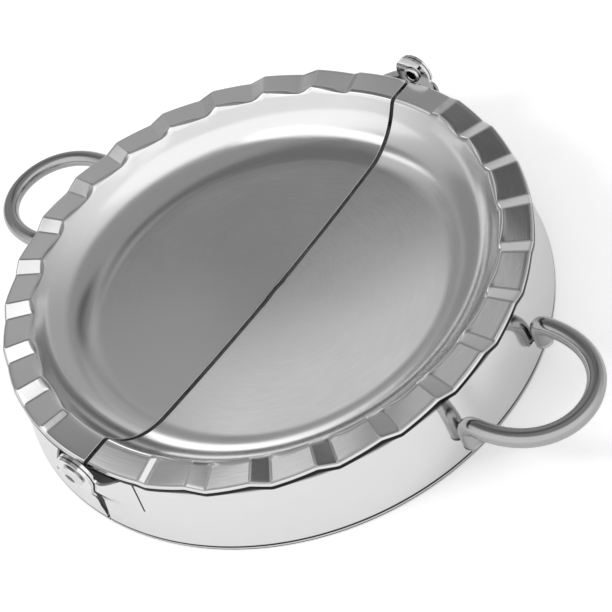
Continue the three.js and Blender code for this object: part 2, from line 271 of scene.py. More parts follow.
def clean(obj, crease_degrees=32, merge=1e-7):
    """Merges doubles, points the faces outwards and marks the hard edges."""
    bm = bmesh.new()
    bm.from_mesh(obj.data)
    bmesh.ops.remove_doubles(bm, verts=bm.verts, dist=merge)
    bmesh.ops.dissolve_degenerate(bm, edges=bm.edges, dist=merge)
    bmesh.ops.recalc_face_normals(bm, faces=bm.faces)
    limit = math.radians(crease_degrees)
    for edge in bm.edges:
        edge.smooth = len(edge.link_faces) == 2 and edge.calc_face_angle(0) < limit
    for face in bm.faces:
        face.smooth = True
    bm.to_mesh(obj.data)
    bm.free()
    obj.data.update()
    return obj


def baked(obj, name):
    """The modifiers' result as a plain mesh on a new object."""
    graph = bpy.context.evaluated_depsgraph_get()
    mesh = bpy.data.meshes.new_from_object(obj.evaluated_get(graph))
    mesh.name = name
    bpy.data.objects.remove(obj)
    return link(bpy.data.objects.new(name, mesh))


def finished(obj, body, slot, material, *nodes):
    """Gives a piece its material and body, and hides the CAD nodes it stands for. Its slot is
    not used.
    """
    obj.data.materials.clear()
    obj.data.materials.append(material)
    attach(obj, body)
    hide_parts(*nodes)


def forget(obj, *labels):
    """Removes the attributes that only the geometry trees needed."""
    for label in labels:
        layer = obj.data.attributes.get(label)
        if layer:
            obj.data.attributes.remove(layer)


# ---- node trees


class Field:
    """A value in a node tree that can be written as a sum."""

    def __init__(self, tree, socket):
        self.tree = tree
        self.socket = socket

    def math(self, operation, *others):
        node = self.tree.nodes.new("ShaderNodeMath")
        node.operation = operation
        for i, value in enumerate((self,) + others):
            if isinstance(value, Field):
                self.tree.links.new(value.socket, node.inputs[i])
            else:
                node.inputs[i].default_value = value
        return Field(self.tree, node.outputs[0])

    def __add__(self, other):
        return self.math("ADD", other)

    def __sub__(self, other):
        return self.math("SUBTRACT", other)

    def __mul__(self, other):
        return self.math("MULTIPLY", other)

    def __truediv__(self, other):
        return self.math("DIVIDE", other)

    def less(self, other):
        return self.math("LESS_THAN", other)

    def pick(self, when_one, when_zero):
        """when_one where this is 1, when_zero where it is 0."""
        if not isinstance(when_one, Field):
            when_one = when_zero * 0 + when_one
        return self * (when_one - when_zero) + when_zero

    def rises(self, low, high):
        """0 at low, 1 at high, with a soft step between them."""
        node = self.tree.nodes.new("ShaderNodeMapRange")
        node.interpolation_type = "SMOOTHSTEP"
        self.tree.links.new(self.socket, node.inputs["Value"])
        node.inputs["From Min"].default_value = low
        node.inputs["From Max"].default_value = high
        return Field(self.tree, node.outputs["Result"])

    def band(self, low, high, soft):
        """1 between two values, fading to 0 over a soft width inside both."""
        return self.rises(low, low + soft) * self.rises(high, high - soft)


def coordinates(tree, vector):
    split = tree.nodes.new("ShaderNodeSeparateXYZ")
    tree.links.new(vector, split.inputs[0])
    return [Field(tree, output) for output in split.outputs]


def geometry_tree(name, floats, counts=()):
    """A geometry tree with its group input, and its named numbers as fields."""
    tree = bpy.data.node_groups.new(name, "GeometryNodeTree")
    sockets = [("Geometry", "Geometry")]
    sockets += [(label, "Float") for label in floats]
    sockets += [(label, "Int") for label in counts]
    for label, kind in sockets + [("Material", "Material")]:
        tree.interface.new_socket(label, in_out="INPUT", socket_type=f"NodeSocket{kind}")
    tree.interface.new_socket("Geometry", in_out="OUTPUT", socket_type="NodeSocketGeometry")
    source = tree.nodes.new("NodeGroupInput")
    return tree, source, [Field(tree, source.outputs[n]) for n in (*floats, *counts)]


def close_tree(tree, source, geometry):
    """Ends a tree in Realize Instances and Set Material."""
    realize = tree.nodes.new("GeometryNodeRealizeInstances")
    paint = tree.nodes.new("GeometryNodeSetMaterial")
    sink = tree.nodes.new("NodeGroupOutput")
    tree.links.new(geometry, realize.inputs["Geometry"])
    tree.links.new(realize.outputs["Geometry"], paint.inputs["Geometry"])
    tree.links.new(source.outputs["Material"], paint.inputs["Material"])
    tree.links.new(paint.outputs["Geometry"], sink.inputs[0])


def named_attribute(tree, name):
    node = tree.nodes.new("GeometryNodeInputNamedAttribute")
    node.data_type = "FLOAT"
    node.inputs["Name"].default_value = name
    return Field(tree, node.outputs["Attribute"])


def grown(obj, tree, values, name):
    """Runs a geometry tree on an object and returns its result as a plain mesh."""
    modifier = obj.modifiers.new("nodes", "NODES")
    modifier.node_group = tree
    for item in tree.interface.items_tree:
        if item.in_out == "INPUT" and item.name in values:
            modifier[item.identifier] = values[item.name]
    return baked(obj, name)


# ---- steel


# Scale and detail of the three noises
STREAKS, SMUDGES, WAVES = (150, 5), (38, 3), (75, 1)
# How closely ringed streaks lie, how fast they change along a ring, and how closely
# level streaks lie
RING_PACKING, RING_CHANGE, LEVEL_PACKING = 12, 0.05, 14
# How much the streaks and smudges change the polish, and their shares in the tint
STREAK_DULLS, SMUDGE_DULLS = 0.1, 0.12
STREAK_TINTS, SMUDGE_TINTS = 0.4, 0.6
# How far the tint goes either way, and the colour of the shade painted along edges
DARKEST, LIGHTEST = 0.94, 1.05
PAINTED_SHADE = (0.02, 0.02, 0.021)
# Depth of the grain, and how much stronger the waves in it are than the streaks
GRAIN_DEPTH = 0.00002
WAVE_STRENGTH = 4

# Where shade is painted along edges, in metres: heights on the wall, distances from the split
# along X, distances from a rivet's axis, and the part of the lip that the plate's attribute
# marks
FOOT_SHADE_LINE, BEVEL, EDGE_FADE = (-0.001, 0.0005), (0.001, 0.0018), 0.0002
UNDER_LIP, LIP_SHADE = (0.0195, 0.0205), 0.9
WALL_BESIDE_EARS, LIP_BESIDE_EARS = (0.0125, 0.0145), (0.007, 0.009)
BORE = (0.00155, 0.0014)
LIP_MARK = (0.1, 0.7)


def blend(tree, part, first, second):
    """A mix of two colours, each a socket or three numbers."""
    node = tree.nodes.new("ShaderNodeMix")
    node.data_type = "RGBA"
    tree.links.new(part.socket, node.inputs["Factor"])
    for label, value in (("A", first), ("B", second)):
        if isinstance(value, bpy.types.NodeSocket):
            tree.links.new(value, node.inputs[label])
        else:
            node.inputs[label].default_value = (*value, 1)
    return node.outputs["Result"]


def steel(name, tint, roughness, grain, ringed=False, edges=None):
    """Polished steel with faint streaks, smudges, tiny waves and shade painted along its edges.

    Ringed streaks run round the press, the others lie level.
    """
    material = bpy.data.materials.new(name)
    material.use_nodes = True
    tree = material.node_tree
    nodes, links = tree.nodes, tree.links
    shader = nodes["Principled BSDF"]
    shader.inputs["Metallic"].default_value = 1.0
    where = nodes.new("ShaderNodeTexCoord").outputs["Object"]
    if ringed:
        x, y, z = coordinates(tree, where)
        radius = (x * x + y * y).math("SQRT")
        along = y.math("ARCTAN2", x) * RING_CHANGE
        join = nodes.new("ShaderNodeCombineXYZ")
        for i, value in enumerate((radius * RING_PACKING, along, z * RING_PACKING)):
            links.new(value.socket, join.inputs[i])
        streak_place = join.outputs[0]
    else:
        stretch = nodes.new("ShaderNodeMapping")
        stretch.inputs["Scale"].default_value = (1, 1, LEVEL_PACKING)
        links.new(where, stretch.inputs["Vector"])
        streak_place = stretch.outputs["Vector"]

    def noise(vector, scale, detail):
        node = nodes.new("ShaderNodeTexNoise")
        node.inputs["Scale"].default_value = scale
        node.inputs["Detail"].default_value = detail
        links.new(vector, node.inputs["Vector"])
        return Field(tree, node.outputs["Fac"])

    streaks = noise(streak_place, *STREAKS)
    smudges = noise(where, *SMUDGES)
    waves = noise(where, *WAVES)
    polish = (streaks - 0.5) * STREAK_DULLS + (smudges - 0.5) * SMUDGE_DULLS + roughness
    links.new(polish.socket, shader.inputs["Roughness"])

    dark = [c * DARKEST for c in tint]
    light = [min(c * LIGHTEST, 1) for c in tint]
    tone = blend(tree, smudges * SMUDGE_TINTS + streaks * STREAK_TINTS, dark, light)
    # Painted shade: dark marks along edges that stand in for shadow and dark reflections
    if edges:
        tone = blend(tree, edges(tree, where), tone, PAINTED_SHADE)
    links.new(tone, shader.inputs["Base Color"])

    bump = nodes.new("ShaderNodeBump")
    bump.inputs["Strength"].default_value = grain
    bump.inputs["Distance"].default_value = GRAIN_DEPTH
    links.new((streaks + waves * WAVE_STRENGTH).socket, bump.inputs["Height"])
    links.new(bump.outputs["Normal"], shader.inputs["Normal"])
    return material


def painted_wall_shade(tree, where):
    """Painted shade: a dark line at the wall's foot, one along the top of the ground bevel, and
    a band where the wall goes under the lip.
    """
    x, _, height = coordinates(tree, where)
    # Painted shade lines at the foot of the wall and along the top of its bevel
    foot_shade_line = height.band(*FOOT_SHADE_LINE, EDGE_FADE)
    bevel = height.band(*BEVEL, EDGE_FADE)
    # Painted shade on the wall just under the lip, away from the ears
    under_lip_shade = height.rises(*UNDER_LIP) * x.math("ABSOLUTE").rises(*WALL_BESIDE_EARS)
    return (foot_shade_line + bevel + under_lip_shade * LIP_SHADE).math("MINIMUM", 1.0)


def painted_bore_shade(tree, where):
    """Painted shade in the bore of a hollow rivet."""
    x, _, z = coordinates(tree, where)
    up = z - HINGE_HEIGHT
    return (x * x + up * up).math("SQRT").rises(*BORE)


def painted_lip_shade(tree, where):
    """Painted shade on the outside of the rolled lip, between the ears."""
    node = tree.nodes.new("ShaderNodeAttribute")
    node.attribute_name = "shaded_lip"
    x = coordinates(tree, where)[0]
    marked = Field(tree, node.outputs["Fac"]).rises(*LIP_MARK)
    return marked * x.math("ABSOLUTE").rises(*LIP_BESIDE_EARS)


# ---- plates


# Rows along a plate's section, and the widest angle between two of its columns
LIP_ROWS, BEND_ROWS, RIM_ROWS, SHOULDER_ROWS, FLOOR_ROWS = 3, 8, 8, 18, 14
COLUMN_ANGLE = math.radians(1.6)
# Columns beside the split, in parts of the rounding, and the most it may turn a column
SPLIT_PARTS = (0, 0.25, 0.6, 1, 2)
SPLIT_TURN = math.radians(4)
# Rows whose slope is steeper than this are on the lip's outside, where shade is painted
LIP_SLOPE = -1.1
# Keeps the middle of the dish off a radius of 0
TINY = 1e-6


def plate_section(s):
    """(radius, height, slope, follow) from the lip's edge to the middle of the dish."""
    lip = s.lip_bend + s.sheet
    bend = s.dish_bend + s.sheet
    slope_in = math.atan(2 * s.floor_crown / s.floor_radius)
    points = [(s.rim_radius, h, -QUARTER, 1) for h in steps(-s.lip_drop, -lip, LIP_ROWS)]
    for slope in steps(-QUARTER, 0, BEND_ROWS)[1:]:
        radius = s.rim_radius - lip * (1 + math.sin(slope))
        points.append((radius, lip * (math.cos(slope) - 1), slope, 1))
    for radius in steps(s.rim_radius - lip, s.rim_flat_radius, RIM_ROWS)[1:]:
        points.append((radius, 0.0, 0.0, 1))
    for slope in steps(0, s.steepness, BEND_ROWS)[1:]:
        radius = s.rim_flat_radius - bend * math.sin(slope)
        follow = 1 - smooth(slope / s.steepness)
        points.append((radius, bend * (math.cos(slope) - 1), slope, follow))
    for slope in steps(s.steepness, slope_in, SHOULDER_ROWS):
        radius = s.floor_radius + s.shoulder_bend * (math.sin(slope) - math.sin(slope_in))
        rise = s.shoulder_bend * (math.cos(slope_in) - math.cos(slope))
        points.append((radius, s.floor_crown - s.dish_depth + rise, slope, 0))
    for part in steps(1, 0, FLOOR_ROWS)[1:]:
        height = s.floor_crown * part * part - s.dish_depth
        points.append((s.floor_radius * part, height, slope_in * part, 0))
    return points


def crimp_pitch(s):
    return (math.pi - 2 * s.crimp_end) / (s.crimp_count - 3 + 2 * s.end_pitch)


def plate_angles(s, last_share):
    """Angles of the columns, with four at each crease of the crimps."""
    pitch = crimp_pitch(s)
    last = (s.crimp_count - 1) // 2
    shares = {-last: s.end_share, last: last_share}
    ends = {-last: s.crimp_end - QUARTER, last: QUARTER - s.crimp_end}
    creases = []
    for k in range(-last, last + 1):
        half = s.steep_angle / 2 * shares.get(k, 1)
        middle = ends.get(k, k * pitch)
        creases += [middle - half, middle + half]
    angles = [-QUARTER, QUARTER]
    stops = [-QUARTER] + creases + [QUARTER]
    for a, b in zip(stops, stops[1:]):
        count = max(2, math.ceil((b - a) / COLUMN_ANGLE))
        angles += steps(a, b, count)[1:-1]
    for crease in creases:
        angles += [crease + s.crease * n for n in (-2, -1, 1, 2)]
    return sorted(angles)


def plate_mesh(name, s, last_share):
    """A closed, uncrimped plate.

    Its vertices know their angle, how far they follow the crimps, and whether they lie
    on the outside of the lip, where shade is painted.
    """
    section = plate_section(s)
    gap = s.split_gap / 2
    squeeze = 1 - gap / s.rim_radius
    vertices, tags = [], []

    def column(angle_at, drop_at):
        """The section once, with its angle and its top's drop given for each radius."""
        rows = [(*row, drop_at(row[0])) for row in section]
        rows += [(*row, s.sheet) for row in reversed(section)]
        for radius, height, slope, follow, depth in rows:
            turn = angle_at(radius)
            r = radius + depth * math.sin(slope)
            z = s.rim_height + (height - depth * math.cos(slope))
            vertices.append((gap + r * math.cos(turn) * squeeze, r * math.sin(turn), z))
            tags.append((turn, follow, slope < LIP_SLOPE))

    def near_split(side, part):
        """A column beside the split, sunk where the edge is rounded."""
        depth = 1 - math.sqrt(max(0.0, 1 - max(0.0, 1 - part) ** 2))

        def reach(radius):
            return min(math.asin(min(1, s.edge_round / max(radius, TINY))), SPLIT_TURN)

        column(
            lambda radius: side * (QUARTER - reach(radius) * part),
            lambda radius: radius * math.sin(reach(radius)) * depth,
        )

    for part in SPLIT_PARTS:
        near_split(-1, part)
    for at in plate_angles(s, last_share)[1:-1]:
        column(lambda radius: at, lambda radius: 0.0)
    for part in reversed(SPLIT_PARTS):
        near_split(1, part)
    columns = len(vertices) // (2 * len(section))
    obj = object_from(name, vertices, sheet_faces(columns, len(section)))
    for label, values in zip(("crimp_angle", "crimp_follow", "shaded_lip"), zip(*tags)):
        layer = obj.data.attributes.new(label, "FLOAT", "POINT")
        layer.data.foreach_set("value", values)
    return obj


def crimp_tree():
    """Lifts each vertex by the crimps: gentle ramps with a steep step between each two."""
    labels = "Depth", "Pitch", "Half Step", "First Share", "Last Share", "End Angle", "Last"
    tree, source, numbers = geometry_tree("press_crimps", labels)
    depth, pitch, half, first_share, last_share, end_angle, last = numbers
    turn = named_attribute(tree, "crimp_angle")
    follow = named_attribute(tree, "crimp_follow")
    nearest = (turn / pitch).math("ROUND")
    crimp = nearest.math("MINIMUM", last).math("MAXIMUM", last * -1)
    is_end = (last - 0.5).less(crimp.math("ABSOLUTE"))
    away = turn - is_end.pick(crimp.math("SIGN") * end_angle, crimp * pitch)
    side = away.math("SIGN")
    far = away.math("ABSOLUTE")
    meets_end = (last - 0.5).less((crimp + side).math("ABSOLUTE"))
    full = depth * 0 + 1
    end_share = crimp.math("GREATER_THAN", 0).pick(last_share, first_share)
    here = half * is_end.pick(end_share, full)
    there = half * meets_end.pick(end_share, full)
    between = is_end.math("MAXIMUM", meets_end).pick(end_angle - (last - 1) * pitch, pitch)
    on_step = far.less(here)
    middle_step = away / here * depth * -0.5
    end_step = (crimp.math("SIGN") - away / here) * depth * 0.25
    ramp = side * depth * 0.5 * ((far - here) * 2 / (between - here - there) - 1)
    on_land = is_end * (crimp * side).math("GREATER_THAN", 0)
    ramp = ramp * (on_land * -1 + 1)
    lift = on_step.pick(is_end.pick(end_step, middle_step), ramp) * follow
    offset = tree.nodes.new("ShaderNodeCombineXYZ")
    tree.links.new(lift.socket, offset.inputs["Z"])
    move = tree.nodes.new("GeometryNodeSetPosition")
    tree.links.new(source.outputs["Geometry"], move.inputs["Geometry"])
    tree.links.new(offset.outputs[0], move.inputs["Offset"])
    close_tree(tree, source, move.outputs["Geometry"])
    return tree


# ---- walls


# Divisions of a wall: upwards, across an ear with its blend, and round the cone
WALL_ROWS, EAR_COLUMNS, CONE_COLUMNS = 46, 42, 150
# Gap between an ear's blend and the cone's first column
BLEND_TO_CONE = 0.0012
# How far sheets and cutters reach past a cut
SPARE = 0.002
# Points along the neck's fillet, the round ear and the rivet hole
NECK_POINTS, EAR_POINTS, HOLE_POINTS = 12, 72, 48


def wall_radius(s, height):
    return mix(s.cutter_radius, s.top_radius, height / s.top_height)


def ear_face(s, x, height, outer):
    """How far along Y the wall's outside lies beside the hinge."""
    radius = wall_radius(s, height)
    cone = math.sqrt(radius * radius - x * x)
    across = smooth((s.flat_reach + s.blend_width - abs(x)) / s.blend_width)
    up = smooth((height - s.rise_height) / (s.flat_height - s.rise_height))
    step_up = smooth((height - s.bevel_height) / (s.slot_height - s.bevel_height))
    return mix(cone, s.ear_face, across * up) + (s.ear_step * across * step_up if outer else 0)


def wall_sheet(name, s, outer):
    """The untrimmed sheet: cone, joggles and ears."""
    top = s.hinge_height + s.ear_radius + SPARE
    heights = [0, s.bevel_height * 0.5] + steps(s.bevel_height, top, WALL_ROWS)
    limit = s.flat_reach + s.blend_width
    start = -s.flat_reach - SPARE / 2
    sweep = math.acos((limit + BLEND_TO_CONE) / s.cutter_radius)
    stations = [("ear", -1, x) for x in steps(start, limit, EAR_COLUMNS)]
    stations += [("cone", 0, a) for a in steps(-sweep, sweep, CONE_COLUMNS)]
    stations += [("ear", 1, x) for x in steps(limit, start, EAR_COLUMNS)]

    def point(kind, side, at, height, depth):
        if kind == "cone":
            radius = wall_radius(s, height) - depth
            return (radius * math.cos(at), radius * math.sin(at), height)
        return (at, side * (ear_face(s, at, height, outer) - depth), height)

    def bevel(height):
        return s.bevel_depth * max(0.0, 1 - height / s.bevel_height)

    vertices = []
    for station in stations:
        vertices += [point(*station, h, bevel(h)) for h in heights]
        vertices += [point(*station, h, s.sheet) for h in reversed(heights)]
    return clean(object_from(name, vertices, sheet_faces(len(stations), len(heights))))


def arc(centre, radius, start, end, count):
    return [
        (centre[0] + radius * math.cos(a), centre[1] + radius * math.sin(a))
        for a in steps(start, end, count)
    ]


def wall_outline(s):
    """The wall seen along the hinge line: band, neck, ear, and the lobe down to the slot."""
    edge = s.split_gap / 2
    centre = (0, s.hinge_height)
    slope = s.neck_slope
    neck = (s.ear_radius * math.cos(slope), s.hinge_height - s.ear_radius * math.sin(slope))
    corner = (neck[0], s.top_height)
    shoulder = (s.ear_radius + s.neck_width, s.top_height)
    drop = s.hinge_height - s.slot_height
    slot_angle = math.atan2(-drop, edge)
    lobe = 2 * math.pi + slot_angle - math.acos(s.ear_radius / math.hypot(edge, drop))
    reach = s.cutter_radius + SPARE
    points = [(edge, -SPARE / 2), (reach, -SPARE / 2), (reach, s.top_height), shoulder]
    for t in steps(0, 1, NECK_POINTS)[1:]:
        points.append(tuple(bent(*ends, t) for ends in zip(shoulder, corner, neck)))
    points += arc(centre, s.ear_radius, -slope, lobe, EAR_POINTS)[1:]
    points.append((edge, s.slot_height))
    return points


def bar(name, outline, y_low, y_high):
    """A bar along Y with an outline drawn in X and Z."""
    count = len(outline)
    vertices = [(x, y_low, z) for x, z in outline] + [(x, y_high, z) for x, z in outline]
    faces = [tuple(range(count)), tuple(range(2 * count - 1, count - 1, -1))]
    for i in range(count):
        j = (i + 1) % count
        faces.append((i, i + count, j + count, j))
    obj = object_from(name, vertices, faces)
    bm = bmesh.new()
    bm.from_mesh(obj.data)
    bmesh.ops.recalc_face_normals(bm, faces=bm.faces)
    bm.to_mesh(obj.data)
    bm.free()
    return obj


def trimmed(obj, cutters, name):
    """Intersects with or subtracts each cutter, then bakes the result."""
    for operation, cutter in cutters:
        modifier = obj.modifiers.new("cut", "BOOLEAN")
        modifier.operation = operation
        modifier.object = cutter
        modifier.solver = "EXACT"
    result = baked(obj, name)
    for _, cutter in cutters:
        bpy.data.objects.remove(cutter)
    return result


def wall_piece(name, s, outer):
    """One wall, trimmed to its outline, with rivet holes and, on the inner ears, slits."""
    reach = s.cutter_radius + 2 * SPARE
    hole = arc((0, s.hinge_height), s.hole_radius, 0, 2 * math.pi, HOLE_POINTS)[:-1]
    cutters = [
        ("INTERSECT", bar("outline", wall_outline(s), -reach, reach)),
        ("DIFFERENCE", bar("hole", hole, -reach, reach)),
    ]
    if not outer:
        wide = s.slit_width / 2
        lean = (s.slit_foot - s.slit_top) / (s.top_height - s.slit_height)
        foot, head = s.slit_foot, s.slit_top - lean * SPARE
        low, high = s.slit_height, s.top_height + SPARE
        slit = [(foot - wide, low), (foot + wide, low)]
        slit += [(head + wide, high), (head - wide, high)]
        cutters.append(("DIFFERENCE", bar("slit", slit, -reach, reach)))
    wall = trimmed(wall_sheet(name, s, outer), cutters, name)
    return clean(wall, crease_degrees=35, merge=2e-6)


# ---- handles


# Points along a foot, its bend, a leg and the bow
FOOT_POINTS, BEND_POINTS, LEG_POINTS, BOW_POINTS = 8, 16, 6, 64
# A cut end's rounding as a share of the wire, and the wire's share at parts of its way
CUT_ROUNDING = 0.12
CUT_TAPER = {0: 0.76, 0.3: 0.9, 1: 1}


def handle_route(s, wall):
    """Points along the wire's centre line: foot, leg, bow, leg and foot."""
    lean = math.atan((wall.cutter_radius - wall.top_radius) / wall.top_height)
    offset = s.wire / 2 + s.seat
    radius = wall_radius(wall, s.height) + offset * math.cos(lean)
    height = s.height + offset * math.sin(lean)
    turn = math.asin(s.half_width / radius)
    corner = Vector((radius * math.cos(turn), radius * math.sin(turn), height))
    root = Vector((corner.x + s.leg, s.half_width, height))
    flat = math.sin(lean)
    down = Vector((flat * math.cos(turn), flat * math.sin(turn), -math.cos(lean)))
    out = (root - corner).normalized()
    a, b = corner + down * s.bend, corner + out * s.bend
    leg = [corner + down * d for d in steps(s.foot, s.bend, FOOT_POINTS)]
    leg += [bent(a, corner, b, t) for t in steps(0, 1, BEND_POINTS)[1:]]
    leg += [b.lerp(root, t) for t in steps(0, 1, LEG_POINTS)[1:]]
    control = root.x + s.bow_depth * 4 / 3
    pinch = s.half_width * s.pinch
    bow = []
    for t in steps(0, 1, BOW_POINTS)[1:-1]:
        x = root.x * ((1 - t) ** 3 + t**3) + control * 3 * t * (1 - t)
        y = s.half_width * ((1 - t) ** 3 - t**3) + pinch * 3 * t * (1 - t) * (1 - 2 * t)
        bow.append(Vector((x, y, height)))
    mirrored = [Vector((p.x, -p.y, p.z)) for p in reversed(leg)]
    return leg + bow + mirrored


def wire_tree():
    """Sweeps a round wire along a line of points."""
    tree, source, (diameter, sides) = geometry_tree("press_wire", ["Diameter"], ["Sides"])
    path = tree.nodes.new("GeometryNodeMeshToCurve")
    thin = tree.nodes.new("GeometryNodeSetCurveRadius")
    ring = tree.nodes.new("GeometryNodeCurvePrimitiveCircle")
    sweep = tree.nodes.new("GeometryNodeCurveToMesh")
    radius = diameter * 0.5
    taper = named_attribute(tree, "wire_taper")
    tree.links.new(source.outputs["Geometry"], path.inputs["Mesh"])
    tree.links.new(path.outputs["Curve"], thin.inputs["Curve"])
    tree.links.new(taper.socket, thin.inputs["Radius"])
    tree.links.new(sides.socket, ring.inputs["Resolution"])
    tree.links.new(radius.socket, ring.inputs["Radius"])
    tree.links.new(thin.outputs["Curve"], sweep.inputs["Curve"])
    tree.links.new(ring.outputs["Curve"], sweep.inputs["Profile Curve"])
    sweep.inputs["Fill Caps"].default_value = True
    close_tree(tree, source, sweep.outputs["Mesh"])
    return tree


def handle_path(name, s, wall):
    """The route as a line of vertices, rounded a little at both cut ends."""
    route = handle_route(s, wall)
    rounding = s.wire * CUT_ROUNDING
    first = (route[1] - route[0]).normalized()
    last = (route[-2] - route[-1]).normalized()
    points = [route[0] + first * (rounding * part) for part in CUT_TAPER] + route[1:-1]
    points += [route[-1] + last * (rounding * part) for part in reversed(CUT_TAPER)]
    cut = list(CUT_TAPER.values())
    tapers = cut + [1] * (len(route) - 2) + cut[::-1]
    edges = [(i, i + 1) for i in range(len(points) - 1)]
    mesh = bpy.data.meshes.new(name)
    mesh.from_pydata([tuple(p) for p in points], edges, [])
    layer = mesh.attributes.new("wire_taper", "FLOAT", "POINT")
    layer.data.foreach_set("value", tapers)
    return link(bpy.data.objects.new(name, mesh))


# ---- rivets


RIVET_SIDES = 56
ARC_POINTS = 10
# The roll of a tail as a share of its thickness, and a head's seat, as a share of its
# radius, its brim, as a share of its height, and the angle at which its dome begins
TAIL_ROLL = 0.8
HEAD_SEAT = 0.97
BRIM = 0.12
DOME_START = 0.2


def rivet_profile(s):
    """(radius, place along Y) round one rivet, from inside the bore to the head's middle."""
    lip = (s.tail - s.bore) / 2
    end = s.tail_face - s.tail_height
    middle = s.bore + lip
    points = [(0, s.head_face - s.web), (s.bore, s.head_face - s.web), (s.bore, end + lip)]
    for a in steps(math.pi, 0, ARC_POINTS):
        roll = s.tail_height * TAIL_ROLL * (1 - math.sin(a))
        points.append((middle + lip * math.cos(a), end + roll))
    points += [(s.tail, s.tail_face), (s.shank, s.tail_face), (s.shank, s.head_face)]
    points.append((s.head * HEAD_SEAT, s.head_face))
    points.append((s.head, s.head_face + s.head_height * BRIM))
    low = math.sin(DOME_START)
    for a in steps(DOME_START, QUARTER, ARC_POINTS):
        rise = BRIM + (1 - BRIM) * (math.sin(a) - low) / (1 - low)
        radius = s.head * math.cos(a) / math.cos(DOME_START)
        points.append((radius, s.head_face + s.head_height * rise))
    points[-1] = (0, s.head_face + s.head_height)
    return points


def rivet_mesh(name, s, height):
    profile = rivet_profile(s)
    count = len(profile)
    vertices, faces = [], []
    for i in range(RIVET_SIDES):
        a = 2 * math.pi * i / RIVET_SIDES
        vertices += [(r * math.cos(a), y, height + r * math.sin(a)) for r, y in profile]
        here, there = i * count, (i + 1) % RIVET_SIDES * count
        for k in range(count - 1):
            faces.append((here + k, here + k + 1, there + k + 1, there + k))
    return clean(object_from(name, vertices, faces), crease_degrees=40)


def pair_tree():
    """Sets a copy of the piece at each end of the hinge line, facing away from the middle."""
    tree, source, (pieces,) = geometry_tree("press_rivet_pair", [], ["Count"])
    row = tree.nodes.new("GeometryNodePoints")
    place = tree.nodes.new("GeometryNodeInstanceOnPoints")
    index = tree.nodes.new("GeometryNodeInputIndex")
    turn = tree.nodes.new("ShaderNodeCombineXYZ")
    tree.links.new(pieces.socket, row.inputs["Count"])
    half_turn = Field(tree, index.outputs[0]) * math.pi
    tree.links.new(half_turn.socket, turn.inputs["Z"])
    tree.links.new(row.outputs[0], place.inputs["Points"])
    tree.links.new(source.outputs["Geometry"], place.inputs["Instance"])
    tree.links.new(turn.outputs[0], place.inputs["Rotation"])
    close_tree(tree, source, place.outputs["Instances"])
    return tree


# ---- operators


class PRESS_OT_plates(bpy.types.Operator):
    """Build the two dished plates with their crimped rims"""

    bl_idname = "press.plates"
    bl_label = "Press Plates"

    def execute(self, context):
        s, look = context.scene.press_plate, context.scene.press_finish
        finish = look.plate, look.plate_roughness
        metal = steel("plate_steel", *finish, grain=0.25, ringed=True, edges=painted_lip_shade)
        tree = crimp_tree()
        values = {
            "Depth": s.crimp_depth,
            "Pitch": crimp_pitch(s),
            "Half Step": s.steep_angle / 2,
            "First Share": s.end_share,
            "End Angle": QUARTER - s.crimp_end,
            "Last": float((s.crimp_count - 1) // 2),
            "Material": metal,
        }
        for half, turn in HALVES.items():
            values["Last Share"] = s.wide_share if half == "right" else s.end_share
            flat = plate_mesh("flat_plate", s, values["Last Share"])
            plate = grown(flat, tree, values, f"{half}_dish")
            forget(plate, "crimp_angle", "crimp_follow")
            clean(turned(plate, turn), crease_degrees=40)
            finished(plate, f"{half}_half", "plate_steel", metal, f"{half}_press_plate")
        return {"FINISHED"}


class PRESS_OT_walls(bpy.types.Operator):
    """Build the two cutter walls with their hinge ears"""

    bl_idname = "press.walls"
    bl_label = "Cutter Walls"

    def execute(self, context):
        s, look = context.scene.press_wall, context.scene.press_finish
        finish = look.wall, look.wall_roughness
        metal = steel("wall_steel", *finish, grain=0.12, edges=painted_wall_shade)
        for half, turn in HALVES.items():
            wall = turned(wall_piece(f"{half}_band", s, half == "left"), turn)
            finished(wall, f"{half}_half", "wall_steel", metal, f"{half}_cutter_wall")
        return {"FINISHED"}


class PRESS_OT_handles(bpy.types.Operator):
    """Build the two wire handles"""

    bl_idname = "press.handles"
    bl_label = "Wire Handles"

    def execute(self, context):
        s, look = context.scene.press_handle, context.scene.press_finish
        metal = steel("wire_steel", look.wire, look.wire_roughness, grain=0.2)
        tree = wire_tree()
        values = {"Diameter": s.wire, "Sides": s.sides, "Material": metal}
        for half, turn in HALVES.items():
            path = handle_path("wire_path", s, context.scene.press_wall)
            wire = turned(grown(path, tree, values, f"{half}_wire"), turn)
            forget(wire, "wire_taper")
            clean(wire, crease_degrees=60)
            finished(wire, f"{half}_half", "wire_steel", metal, f"{half}_handle")
        return {"FINISHED"}


class PRESS_OT_rivets(bpy.types.Operator):
    """Build the pair of hinge rivets"""

    bl_idname = "press.rivets"
    bl_label = "Hinge Rivets"

    def execute(self, context):
        s, look = context.scene.press_rivet, context.scene.press_finish
        finish = look.rivet, look.rivet_roughness
        metal = steel("rivet_steel", *finish, grain=0.15, edges=painted_bore_shade)
        one = rivet_mesh("one_rivet", s, context.scene.press_wall.hinge_height)
        pair = grown(one, pair_tree(), {"Count": 2, "Material": metal}, "hinge_rivets")
        clean(pair, crease_degrees=40)
        nodes = "near_hinge_rivet", "far_hinge_rivet"
        finished(pair, "right_half", "rivet_steel", metal, *nodes)
        return {"FINISHED"}


class PRESS_OT_stage(bpy.types.Operator):
    """Set up the camera, the table, the lamps and the world"""

    bl_idname = "press.stage"
    bl_label = "Stage"

    def execute(self, context):
        s = context.scene.press_stage
        add_camera(context.scene, s)
        add_floor(s)
        add_lamps()
        add_world(context.scene, s)
        context.scene.view_settings.view_transform = "Standard"
        return {"FINISHED"}


SENSOR_WIDTH = 36
NEAREST = 0.01
TABLE_REACH = 4.0
TABLE_ROUGHNESS = 0.9
